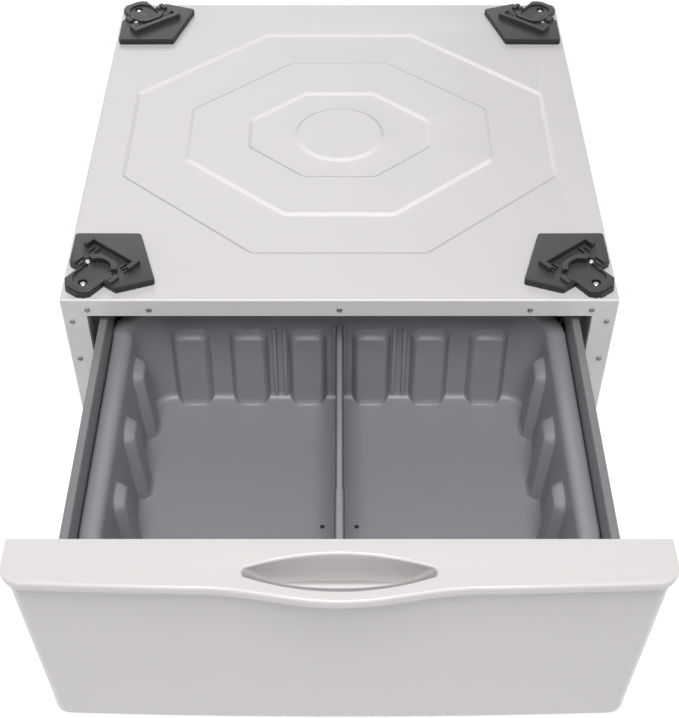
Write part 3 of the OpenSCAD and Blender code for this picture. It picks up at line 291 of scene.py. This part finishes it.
def powder_coat(name):
    return grained(name, (0.78, 0.757, 0.749), roughness=0.42, scale=1400, depth=0.06, cloud=0.015,
                   coat=0.12)


white_paint = powder_coat("white_powder_coat")

# Where the sheet faces up, light and shade are painted into the coat: the press's slopes to the front are
# painted whiter as a painted highlight, and those to the rear are painted darker as painted shade.
press_shaded_paint = powder_coat("pressed_coat_painted_shade")
full_slope = 0.3
slope_change = 0.24
level_from, level_full = 0.5, 0.8
press_nodes, press_links = press_shaded_paint.node_tree.nodes, press_shaded_paint.node_tree.links
press_place = press_nodes.new("ShaderNodeTexCoord")
press_facing = press_nodes.new("ShaderNodeSeparateXYZ")
press_links.new(press_place.outputs["Normal"], press_facing.inputs["Vector"])
press_slope = press_nodes.new("ShaderNodeMapRange")
press_slope.inputs["From Min"].default_value = -full_slope
press_slope.inputs["From Max"].default_value = full_slope
press_slope.inputs["To Min"].default_value = 1 + slope_change
press_slope.inputs["To Max"].default_value = 1 - slope_change
press_links.new(press_facing.outputs["Y"], press_slope.inputs["Value"])
press_deck = press_nodes.new("ShaderNodeMapRange")
press_deck.inputs["From Min"].default_value = level_from
press_deck.inputs["From Max"].default_value = level_full
press_links.new(press_facing.outputs["Z"], press_deck.inputs["Value"])
press_factor = press_nodes.new("ShaderNodeMix")
press_factor.inputs["A"].default_value = 1
press_links.new(press_deck.outputs["Result"], press_factor.inputs["Factor"])
press_links.new(press_slope.outputs["Result"], press_factor.inputs["B"])
press_painted_shade = press_nodes.new("ShaderNodeVectorMath")
press_painted_shade.operation = "SCALE"
press_color = press_nodes["Principled BSDF"].inputs["Base Color"]
press_links.new(press_color.links[0].from_socket, press_painted_shade.inputs[0])
press_links.new(press_factor.outputs["Result"], press_painted_shade.inputs["Scale"])
press_links.new(press_painted_shade.outputs["Vector"], press_color)

wrap_low, wrap_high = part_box("cabinet_wrap")
deck_height = wrap_high.z
press_depth = 0.0028
press_half = 0.302
press_margin = 0.08
press_round = 0.001
least_bend, most_bend = radians(15), radians(40)
height_slack = 1e-4
wrap = merged_copy("cabinet_wrap")
press_edges = []
for edge in wrap.edges:
    ends = [corner.co for corner in edge.verts]
    level_edge = abs(ends[0].z - ends[1].z) < height_slack
    on_deck = all(deck_height - press_depth < end.z < deck_height + height_slack for end in ends)
    inside = all(abs(end.x) < press_half and
                 wrap_low.y + press_margin < end.y < wrap_high.y - press_margin for end in ends)
    if level_edge and on_deck and inside and len(edge.link_faces) == 2:
        if least_bend < edge.calc_face_angle() < most_bend:
            press_edges.append(edge)
bmesh.ops.bevel(wrap, geom=press_edges, offset=press_round, segments=3, profile=0.5,
                affect="EDGES", material=-1, clamp_overlap=True)
finish_piece(wrap, "cabinet_wrap_pressed", "cabinet", press_shaded_paint, "cabinet_wrap", angle=6)
eased("rear_panel", white_paint, width=0.0004)


# The inner steelwork: the cabinet's header beam, front posts, base rails, deck braces and the hat
# channels that carry its slides, and the drawer's pan and the panel inside its front. All are bent
# from galvanised strip, whose zinc has grown in broad crystals.

def build_spangle(name, color, roughness):
    finish = plain(name, color, roughness)
    nodes, links = finish.node_tree.nodes, finish.node_tree.links
    shader = nodes["Principled BSDF"]
    shader.inputs["Metallic"].default_value = 1
    place = nodes.new("ShaderNodeTexCoord")
    crystals = nodes.new("ShaderNodeTexVoronoi")
    crystals.inputs["Scale"].default_value = 130
    links.new(place.outputs["Object"], crystals.inputs["Vector"])
    shade = nodes.new("ShaderNodeMapRange")
    shade.inputs["To Min"].default_value = roughness - 0.08
    shade.inputs["To Max"].default_value = roughness + 0.14
    links.new(crystals.outputs["Color"], shade.inputs["Value"])
    links.new(shade.outputs["Result"], shader.inputs["Roughness"])
    tone = nodes.new("ShaderNodeMapRange")
    tone.inputs["To Min"].default_value = 0.86
    tone.inputs["To Max"].default_value = 1.08
    links.new(crystals.outputs["Color"], tone.inputs["Value"])
    tint = nodes.new("ShaderNodeVectorMath")
    tint.operation = "SCALE"
    tint.inputs[0].default_value = color
    links.new(tone.outputs["Result"], tint.inputs["Scale"])
    links.new(tint.outputs["Vector"], shader.inputs["Base Color"])
    return finish


galvanised = build_spangle("galvanised_strip", (0.62, 0.63, 0.65), roughness=0.38)
for strip in ("header_beam", "front_post_left", "front_post_right", "base_rail_left", "base_rail_right",
              "base_rail_front", "base_rail_rear", "deck_brace_front", "deck_brace_rear",
              "slide_mount_left", "slide_mount_right", "front_inner_panel", "drawer_pan"):
    eased(strip, galvanised, width=0.0003)


# The slides: three roll-formed rails on each side, zinc plated, with steel balls between them in
# two thin cages. The nuts and most screws are plated in the same way, and the screws of the front
# frame are duller.

zinc = grained("bright_zinc", (0.66, 0.66, 0.67), roughness=0.3, scale=600, depth=0.03, cloud=0.06,
               metallic=1)
for side in ("left", "right"):
    for rail in ("slide_outer_", "slide_middle_", "slide_inner_"):
        eased(rail + side, zinc, width=0.0003)
    for cage in ("ball_cage_outer_", "ball_cage_inner_"):
        eased(cage + side, zinc, width=0.0001, segments=1)
dulled_zinc = grained("dulled_zinc", (0.3, 0.3, 0.31), roughness=0.45, scale=600, depth=0.03, cloud=0.1,
                      metallic=1)
eased("frame_screws", dulled_zinc, width=0.00015, segments=1)
for fastener in ("rear_screws", "clamp_screws", "pad_screws", "slide_screws", "weld_nuts", "lock_nuts"):
    eased(fastener, zinc, width=0.00015, segments=1)


# The levelling feet: a moulded pad under a plated screw with a hexagon to turn it by. The closing
# bumpers behind the drawer front are of the same black rubber.

black_rubber = grained("black_foot", (0.022, 0.022, 0.024), roughness=0.6, scale=700, depth=0.3, cloud=0.1)
for row in ("front", "rear"):
    for side in ("left", "right"):
        eased("foot_pad_%s_%s" % (row, side), black_rubber, width=0.0006)
        eased("foot_stem_%s_%s" % (row, side), zinc, width=0.0002, segments=1)
eased("closing_bumpers", black_rubber, width=0.0003)


# The corner pads and the clamps in them: glass-filled nylon, moulded in charcoal with a fine
# matt grain. Their edges are eased, and their upright walls are painted darker than their level faces
# as painted shade. Screws hold both down.

charcoal_nylon_side_shade = grained("charcoal_nylon_side_shade", (0.044, 0.046, 0.05), roughness=0.5, scale=1500, depth=0.25,
                         cloud=0.06)


def paint_shade_by_facing(finish, shade_color, axis, start, full):
    """Paints shade into a finish: blends it to a darker colour as its normal's part along an axis goes from
    start to full.
    """
    nodes, links = finish.node_tree.nodes, finish.node_tree.links
    facing = nodes.new("ShaderNodeTexCoord")
    split = nodes.new("ShaderNodeSeparateXYZ")
    links.new(facing.outputs["Normal"], split.inputs["Vector"])
    turned = nodes.new("ShaderNodeMath")
    turned.operation = "ABSOLUTE"
    links.new(split.outputs[axis], turned.inputs[0])
    level = nodes.new("ShaderNodeMapRange")
    level.inputs["From Min"].default_value = start
    level.inputs["From Max"].default_value = full
    links.new(turned.outputs["Value"], level.inputs["Value"])
    blend = nodes.new("ShaderNodeMix")
    blend.data_type = "RGBA"
    blend.inputs["B"].default_value = (*shade_color, 1)
    skin = nodes["Principled BSDF"].inputs["Base Color"]
    links.new(level.outputs["Result"], blend.inputs["Factor"])
    links.new(skin.links[0].from_socket, blend.inputs["A"])
    links.new(blend.outputs["Result"], skin)


# Painted shade: the upright walls of the pads and clamps are blended towards near black.
paint_shade_by_facing(charcoal_nylon_side_shade, (0.009, 0.0095, 0.0105), "Z", start=0.8, full=0.2)
for row in ("front", "rear"):
    for side in ("left", "right"):
        eased("corner_pad_%s_%s" % (row, side), charcoal_nylon_side_shade, width=0.0006, segments=3)
        eased("foot_clamp_%s_%s" % (row, side), charcoal_nylon_side_shade, width=0.0007, segments=3)


# The drawer box: bent steel sides and back in satin grey paint, with the rim folded inwards over
# the shoulder of the tub.

grey_paint = grained("grey_box_paint", (0.235, 0.238, 0.25), roughness=0.42, scale=1400, depth=0.06,
                     cloud=0.03)
for sheet_part in ("drawer_side_left", "drawer_side_right", "drawer_back"):
    eased(sheet_part, grey_paint, width=0.0004)


# The tub: one moulding in grey polypropylene with a fine grain. Its wall leans in from a rolled
# shoulder to a filleted floor, and swells into soft upright ribs on the back and the sides. Pairs
# of upright strips on the front and the back take a divider's ends, and black discs over its two
# drains are painted shade that stands in for the shade inside the holes.

tub_grey = grained("tub_polypropylene", (0.31, 0.314, 0.332), roughness=0.36, scale=1200, depth=0.1,
                   cloud=0.03)
tub_low, tub_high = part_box("drawer_tub")
tub_wall = 0.003
roll = 0.0128
roll_drop = 0.009
lean = 0.007
floor_round = 0.009
corner_round = 0.042
tub_x = tub_high.x - 2 * roll
tub_y0 = tub_low.y + 2 * roll
tub_y1 = tub_high.y - 2 * roll
tub_floor = tub_low.z + tub_wall
roll_z = tub_high.z - roll
rib_high = tub_high.z - 0.034
rib_low = tub_floor - 0.006
rib_out = 0.0125
rib_round = 0.0095
rib_corner = 0.015
back_rib_width, back_rib_first, back_rib_pitch = 0.052, 0.0425, 0.0775
side_rib_width, side_rib_first, side_rib_pitch = 0.046, 0.066, 0.102
back_ribs = [(back_rib_width, side * (back_rib_first + back_rib_pitch * i))
             for side in (-1, 1) for i in range(3)]
side_ribs = [(side_rib_width, tub_y1 - side_rib_first - side_rib_pitch * i) for i in range(3)]
heel_in, heel_rise, heel_top = 0.004, 0.001, 0.006
column_step, row_step = 0.012, 0.016
short_step, rib_top_step = 0.001, 0.0008
corner_steps, under_steps, roll_steps, fillet_steps = 12, 8, 20, 10


def rib_rise(along, z, ribs):
    """How far a rib stands out of its wall here, as a part of its full height."""
    rise = 0.0
    for width, middle in ribs:
        across = width / 2 - abs(along - middle)
        down = min(rib_high - z, z - rib_low)
        inside = min(across, down)
        if across < rib_corner and down < rib_corner:
            inside = rib_corner - hypot(rib_corner - across, rib_corner - down)
        rise = max(rise, sin(pi / 2 * min(1, max(0, inside / rib_round))))
    return rise


def spread(start, end, marks, step):
    """Places from start to end that include all the marks and lie no further apart than the step."""
    marks = sorted({start, end, *marks})
    places = [marks[0]]
    for mark in marks[1:]:
        count = ceil((mark - places[-1]) / step)
        places += [places[-1] + (mark - places[-1]) * k / count for k in range(1, count)] + [mark]
    return places


def wall_places(start, end, ribs):
    edges = [middle + side * (width / 2 - short_step * k)
             for width, middle in ribs for side in (-1, 1) for k in range(-1, 12)]
    return spread(start, end, edges, column_step)


def tub_columns():
    """The outline in plan: core of the rounding, way out, place along the wall, and the wall's ribs."""
    cx, cy0, cy1 = tub_x - corner_round, tub_y0 + corner_round, tub_y1 - corner_round
    front_xs, back_xs = wall_places(-cx, cx, []), wall_places(-cx, cx, back_ribs)
    side_ys = wall_places(cy0, cy1, side_ribs)
    walls = [[(Vector((x, cy0)), Vector((0, -1)), x, []) for x in front_xs],
             [(Vector((cx, y)), Vector((1, 0)), y, side_ribs) for y in side_ys],
             [(Vector((x, cy1)), Vector((0, 1)), x, back_ribs) for x in reversed(back_xs)],
             [(Vector((-cx, y)), Vector((-1, 0)), y, side_ribs) for y in reversed(side_ys)]]
    columns = []
    for i, wall in enumerate(walls):
        columns += wall
        for k in range(1, corner_steps):
            turned = radians(-90 + 90 * i + 90 * k / corner_steps)
            columns.append((wall[-1][0], Vector((cos(turned), sin(turned))), 0, []))
    return columns


def lean_at(z):
    return lean * (roll_z - z) / (roll_z - tub_floor - floor_round)


def tub_rows():
    """Rows of the tub's skin from the middle of its underside over the roll to its floor: inset, height,
    and whether the ribs show there."""
    rows = [(lean + floor_round, tub_low.z, False),
            (lean - tub_wall + heel_in, tub_low.z + heel_rise, False),
            (lean - tub_wall, tub_floor + heel_top, False), (-tub_wall, roll_z, False)]
    for k in range(1, under_steps):
        turned = radians(180 * k / under_steps)
        rows.append((-roll + (roll - tub_wall) * cos(turned),
                     roll_z + (roll - tub_wall) * sin(turned), False))
    rows += [(-2 * roll + tub_wall, roll_z, False), (-2 * roll, roll_z, False)]
    for k in range(roll_steps + 1):
        turned = radians(180 - 180 * k / roll_steps)
        drop = roll_drop if k < roll_steps / 2 else roll
        rows.append((-roll + roll * cos(turned), roll_z + roll - drop * (1 - sin(turned)), False))
    wall_low = tub_floor + floor_round
    marks = [rib_high - rib_top_step * k for k in range(15)] + [wall_low + short_step * k for k in range(4)]
    for z in reversed(spread(wall_low, roll_z - short_step, marks, row_step)):
        rows.append((lean_at(z), z, True))
    for k in range(1, fillet_steps + 1):
        turned = radians(90 * k / fillet_steps)
        rows.append((lean + floor_round * (1 - cos(turned)),
                     tub_floor + floor_round * (1 - sin(turned)), True))
    rows.append((lean + floor_round + short_step, tub_floor, True))
    return rows


def loft(mesh, rings, closed=True):
    """Skins a list of rings of points and returns the rings' vertices."""
    made = [[mesh.verts.new(point) for point in ring] for ring in rings]
    count = len(made[0])
    for below, above in zip(made, made[1:]):
        for i in range(count if closed else count - 1):
            j = (i + 1) % count
            mesh.faces.new((below[i], below[j], above[j], above[i]))
    return made


def ring_edges(mesh, ring):
    return [mesh.edges.get((ring[i], ring[(i + 1) % len(ring)])) or
            mesh.edges.new((ring[i], ring[(i + 1) % len(ring)])) for i in range(len(ring))]


tub = bmesh.new()
columns = tub_columns()
tub_rings = loft(tub, [
    [(*(core + out * (corner_round - inset - (rib_out * rib_rise(along, z, ribs) if ribbed else 0))), z)
     for core, out, along, ribs in columns] for inset, z, ribbed in tub_rows()])
tub.faces.new(reversed(tub_rings[0]))
drain_x, drain_y = 0.0216, tub_y0 + 0.159
drain_radius, drain_depth = 0.0022, 0.0028
drain_points = 16
drain_rims = []
for side in (-1, 1):
    rims = loft(tub, [[(side * drain_x + drain_radius * cos(2 * pi * k / drain_points),
                        drain_y + drain_radius * sin(2 * pi * k / drain_points), z)
                       for k in range(drain_points)] for z in (tub_floor, tub_floor - drain_depth)])
    drain_rims += ring_edges(tub, rims[0])
bmesh.ops.triangle_fill(tub, use_beauty=True, edges=ring_edges(tub, tub_rings[-1]) + drain_rims)
bmesh.ops.recalc_face_normals(tub, faces=tub.faces)
finish_piece(tub, "tub_moulding", "drawer", tub_grey, "drawer_tub", angle=50)

# Painted shade: black discs lie over the drains in place of the shade inside the holes.
shade_disc_radius, shade_disc_rise = 0.0031, 0.0003
shade_discs = bmesh.new()
for side in (-1, 1):
    bmesh.ops.create_circle(shade_discs, cap_ends=True, segments=24, radius=shade_disc_radius,
                            matrix=Matrix.Translation((side * drain_x, drain_y, tub_floor + shade_disc_rise)))
finish_piece(shade_discs, "drain_shade_discs", "drawer", black_rubber)

# The guides, the divider's rail and its sleeve: their faces that turn sideways are painted darker as
# painted shade.
strip_grey_side_shade = grained("strip_polypropylene_side_shade", (0.32, 0.324, 0.342), roughness=0.42, scale=1200, depth=0.12,
                     cloud=0.03)
paint_shade_by_facing(strip_grey_side_shade, (0.07, 0.071, 0.078), "X", start=0.5, full=0.9)
divider_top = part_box("divider_rail")[1].z
guides = bmesh.new()
guide_pitch = 0.0795
guide_gap = 0.0085
guide_width = 0.005
guide_out = 0.004
guide_sunk = 0.001
guide_edge = 0.0008
guide_short = 0.008
guide_low = tub_floor + floor_round * 0.9
guide_high = divider_top - guide_short
for middle in (-guide_pitch, 0, guide_pitch):
    for side in (-1, 1):
        x = middle + side * (guide_gap + guide_width) / 2
        for wall, inward in ((tub_y0, 1), (tub_y1, -1)):
            strip = []
            for z in (guide_low, guide_high):
                near = wall + inward * (lean_at(z) - guide_sunk)
                far = wall + inward * (lean_at(z) + guide_out)
                strip.append([guides.verts.new((x + sx * guide_width / 2, y, z))
                              for sx, y in ((-1, near), (1, near), (1, far), (-1, far))])
            low, high = strip
            guides.faces.new(low)
            guides.faces.new(high)
            for i in range(4):
                guides.faces.new((low[i], low[(i + 1) % 4], high[(i + 1) % 4], high[i]))
bmesh.ops.recalc_face_normals(guides, faces=guides.faces)
bmesh.ops.bevel(guides, geom=guides.edges[:], offset=guide_edge, segments=3, profile=0.5,
                affect="EDGES", material=-1, clamp_overlap=True)
finish_piece(guides, "tub_guides", "drawer", strip_grey_side_shade)


# The divider, moulded in the tub's grey plastic: a panel that stands in the tub's middle guides, a
# rounded rail pushed onto its top edge, and a sleeve over the rail's front end.

eased("divider_panel", tub_grey, width=0.0004)
# The rail and the sleeve carry painted shade on their sideways faces.
for part in ("divider_rail", "divider_sleeve"):
    eased(part, strip_grey_side_shade, width=0.0004)


# The drawer front: a hollow moulding in satin white plastic, open at its back. A rolled lip runs
# along its top, swells out over the handle and holds a lens-shaped recess for the thumb, whose
# skin is duller and painted greyer as painted shade, and darker still where it faces up.

front_white = grained("white_front", (0.79, 0.758, 0.75), roughness=0.34, scale=1400, depth=0.03,
                      cloud=0.01, coat=0.6)
# The recess's skin is painted greyer as painted shade, and darker still where it faces up.
recess_painted_shade = grained("white_recess_painted_shade", (0.565, 0.54, 0.535), roughness=0.5, scale=900, depth=0.12,
                       cloud=0.01)
paint_shade_by_facing(recess_painted_shade, (0.42, 0.402, 0.398), "Z", start=0.4, full=0.75)
front_low, front_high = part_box("drawer_front")
front_half = front_high.x
nose = 0.007
nose_square = 0.5
lip_reach = 0.0615
bulge = 0.015
bulge_half = 0.140
bulge_curve = 1.5
face_low_reach, face_top_reach = 0.0155, 0.045
bow_low, bow_top = 0.006, 0.008
bottom_round = 0.005
face_corner = 0.015
face_side, face_round = 0.0015, 0.012
under_lip = 0.005
under_lip_side = 0.0013
lip_side, lip_round = 0.0011, 0.024
top_inset, top_side, top_round = 0.0008, 0.0019, 0.0235
least_side = 0.001
arc_steps, width_steps = 9, 120
lip_bottom = front_high.z - 2 * nose
front_skin = 0.003


def front_ring(half, reach, bow, swell, corner, z):
    """One level of the front from its back left edge round its face to its back right edge."""
    def face_y(x):
        swelling = swell * (1 + cos(pi * x / bulge_half)) / 2 if abs(x) < bulge_half else 0
        return -reach + bow * (x / front_half) ** 2 - swelling
    corner = min(corner, -face_y(half - corner) - least_side)
    edge = half - corner
    middle = face_y(edge) + corner
    points = [(-half, 0)]
    for k in range(arc_steps):
        turned = radians(180 + 90 * k / arc_steps)
        points.append((-edge + corner * cos(turned), middle + corner * sin(turned)))
    for k in range(width_steps + 1):
        x = edge * (2 * k / width_steps - 1)
        points.append((x, face_y(x)))
    for k in range(1, arc_steps + 1):
        turned = radians(-90 + 90 * k / arc_steps)
        points.append((edge + corner * cos(turned), middle + corner * sin(turned)))
    points.append((half, 0))
    return [(x, front_high.y + y, z) for x, y in points]


def face_ring(z, inset=0.0):
    up = (z - front_low.z) / (lip_bottom - front_low.z)
    reach = face_low_reach + (face_top_reach - face_low_reach) * up - inset
    bow = bow_low + (bow_top - bow_low) * up
    below = max(0, face_corner - (z - front_low.z))
    half = front_half - face_side - inset - face_corner + sqrt(face_corner ** 2 - below ** 2)
    return front_ring(half, reach, bow, 0, face_round - inset / 2, z)


front_rings = []
bottom_steps, corner_rows, face_rows, lip_rows, nose_rows = 8, 6, 12, 9, 18
for k in range(bottom_steps):
    turned = radians(90 * k / bottom_steps)
    front_rings.append(face_ring(front_low.z + bottom_round * (1 - cos(turned)),
                                 bottom_round * (1 - sin(turned))))
face_start, face_end = front_low.z + face_corner, lip_bottom - under_lip
corner_start = front_low.z + bottom_round
front_rings += [face_ring(corner_start + (face_corner - bottom_round) * k / corner_rows)
                for k in range(corner_rows)]
front_rings += [face_ring(face_start + (face_end - face_start) * k / face_rows)
                for k in range(face_rows + 1)]
overhang = lip_reach - nose - face_top_reach
for k in range(1, lip_rows):
    turned = radians(90 * k / lip_rows)
    out = 1 - cos(turned)
    corner = face_round + (lip_round - face_round) * (k / lip_rows) ** 2
    front_rings.append(front_ring(front_half - under_lip_side, face_top_reach + overhang * out, bow_top,
                                  bulge * out ** bulge_curve, corner,
                                  lip_bottom - under_lip * (1 - sin(turned))))
for k in range(nose_rows + 1):
    turned = radians(180 * k / nose_rows - 90)
    out = abs(cos(turned)) ** nose_square
    up = copysign(abs(sin(turned)) ** nose_square, sin(turned))
    front_rings.append(front_ring(front_half - lip_side * abs(up), lip_reach - nose * (1 - out), bow_top,
                                  bulge, lip_round, lip_bottom + nose + nose * up))
front_rings.append(front_ring(front_half - top_side, lip_reach - nose - top_inset, bow_top, bulge,
                              top_round, front_high.z))

recess_half = 0.0985
recess_far = -0.0177
recess_near = -0.0626
recess_depth = 0.033
recess_lip = 0.003
recess_ends_in, recess_far_in, recess_near_in = 0.038, 0.0095, 0.025
recess_ends_curve = 1.2
lens_slimness = 6.4
edge_steps, tip_steps = 40, 10


def lens_ring(half, far, near, z):
    """A lens in plan between its far and its near edge, with rounded ends."""
    tip = (far - near) / lens_slimness
    middle = (far + near) / 2
    end = half - tip
    points = []
    for side in (1, -1):
        edge = near if side > 0 else far
        for k in range(edge_steps + 1):
            along = side * (2 * k / edge_steps - 1)
            points.append((along * end, edge + (middle - side * tip - edge) * along * along))
        for k in range(1, tip_steps):
            turned = radians(180 * k / tip_steps - side * 90)
            points.append((side * end + tip * cos(turned), middle + tip * sin(turned)))
    return [(x, front_high.y + y, z) for x, y in points]


recess_rings = []
lip_steps, bowl_steps = 6, 20
for k in range(lip_steps + 1):
    turned = radians(90 * k / lip_steps)
    wider = recess_lip * (1 - sin(turned))
    recess_rings.append(lens_ring(recess_half + wider, recess_far + wider, recess_near - wider,
                                  front_high.z - recess_lip * (1 - cos(turned))))
for k in range(2, bowl_steps + 1):
    part = k / bowl_steps
    recess_rings.append(lens_ring(recess_half - recess_ends_in * part ** recess_ends_curve,
                                  recess_far - recess_far_in * part,
                                  recess_near + recess_near_in * (1 - (1 - part) ** 2),
                                  front_high.z - recess_depth * sin(pi / 2 * part)))

front = bmesh.new()
skin = loft(front, front_rings, closed=False)
front.faces.new(skin[0])
bowl = loft(front, recess_rings)
front.faces.new(bowl[-1])
# The bowl's faces take the recess finish with its painted shade.
bowl_points = {point for ring in bowl[lip_steps:] for point in ring}
for bowl_face in front.faces:
    if bowl_points.issuperset(bowl_face.verts):
        bowl_face.material_index = 1
bmesh.ops.triangle_fill(front, use_beauty=True,
                        edges=ring_edges(front, skin[-1]) + ring_edges(front, bowl[0]))
bmesh.ops.recalc_face_normals(front, faces=front.faces)
bmesh.ops.solidify(front, geom=front.faces[:], thickness=front_skin)
front_moulding = finish_piece(front, "drawer_front_moulding", "drawer", front_white, "drawer_front",
                              angle=50)
front_moulding.data.materials.append(recess_painted_shade)
